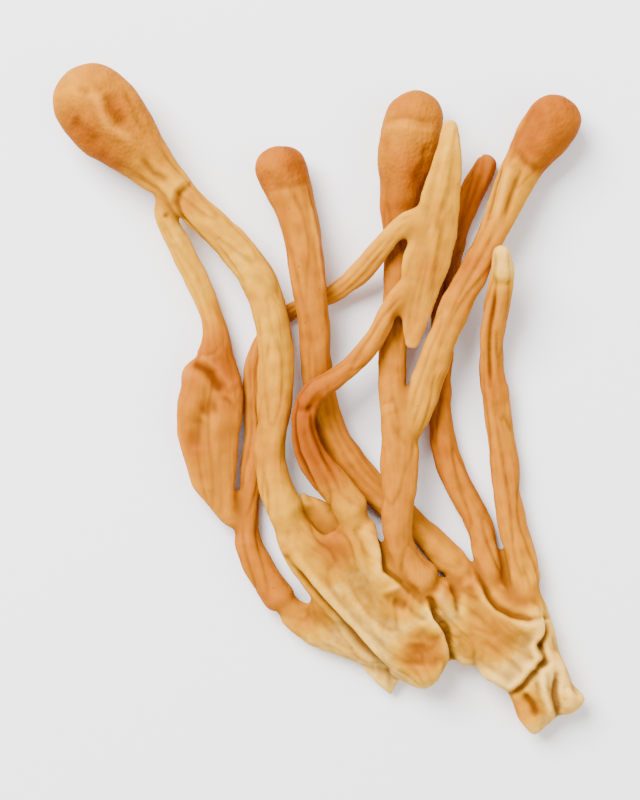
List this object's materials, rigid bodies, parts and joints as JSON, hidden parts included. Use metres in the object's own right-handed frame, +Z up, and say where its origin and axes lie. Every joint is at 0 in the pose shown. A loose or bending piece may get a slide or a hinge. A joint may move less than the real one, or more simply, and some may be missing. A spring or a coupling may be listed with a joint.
{
  "type": "dried cordyceps",
  "caption": "Dried tuft of orange cordyceps fruit bodies: slender club-tipped stalks that fork and cross, grown together in one crumpled straw-coloured base, lying flat.",
  "frame": {"origin": "middle of the tuft's box at the height of the table it lies on", "axes": "+Y from the base to the clubs, +Z up from the table, +X to the right as seen from above with the clubs away from the viewer"},
  "size_m": [0.0546, 0.069, 0.0081],
  "materials": {
    "amber_skin": "matt dried skin of a fruit body, finely grained on the club, with lengthwise shrink wrinkles on the stalk",
    "honey_skin": "matt dried skin of a pale stalk, with lengthwise shrink wrinkles",
    "orange_skin": "matt dried skin of a deep orange stalk, with lengthwise shrink wrinkles",
    "base_skin": "matt, crumpled, straw-coloured mycelium skin with brown creases"
  },
  "bodies": {
    "root": {"base": "base_skin", "big_club": "amber_skin", "side_stalk": "honey_skin", "middle_club": "amber_skin", "orange_stalk": "orange_skin", "flat_blade": "honey_skin", "tall_club": "amber_skin", "right_club": "amber_skin", "back_stalk": "orange_skin", "outer_stalk": "honey_skin", "thread_stalk": "amber_skin"}
  },
  "joints": []
}
